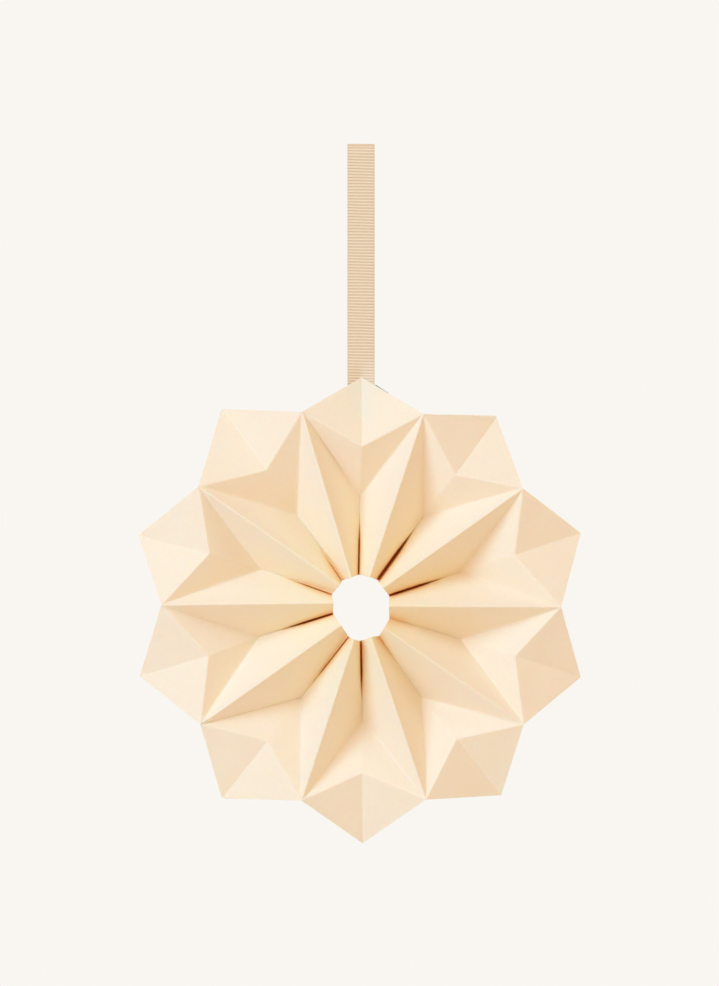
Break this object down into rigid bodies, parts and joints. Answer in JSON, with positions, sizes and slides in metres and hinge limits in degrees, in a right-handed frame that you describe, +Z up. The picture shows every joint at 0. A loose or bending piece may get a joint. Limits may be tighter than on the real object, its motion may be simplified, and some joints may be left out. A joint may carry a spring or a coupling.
{
  "type": "origami star ornament",
  "caption": "Pleated paper star ornament with reverse-folded petals round a centre hole, hung by a flat grosgrain ribbon loop.",
  "frame": {"origin": "inside top of the ribbon loop, where a hook bears", "axes": "+Z up along the ribbon, -Y out of the front of the star, +X to the right seen from the front"},
  "size_m": [0.1646, 0.0241, 0.2576],
  "materials": {
    "paper": "matte uncoated peach-cream paper",
    "ribbon": "ribbed grosgrain with a low sheen"
  },
  "bodies": {
    "root": {"folded_star": "paper", "hanging_ribbon": "ribbon"}
  },
  "joints": []
}
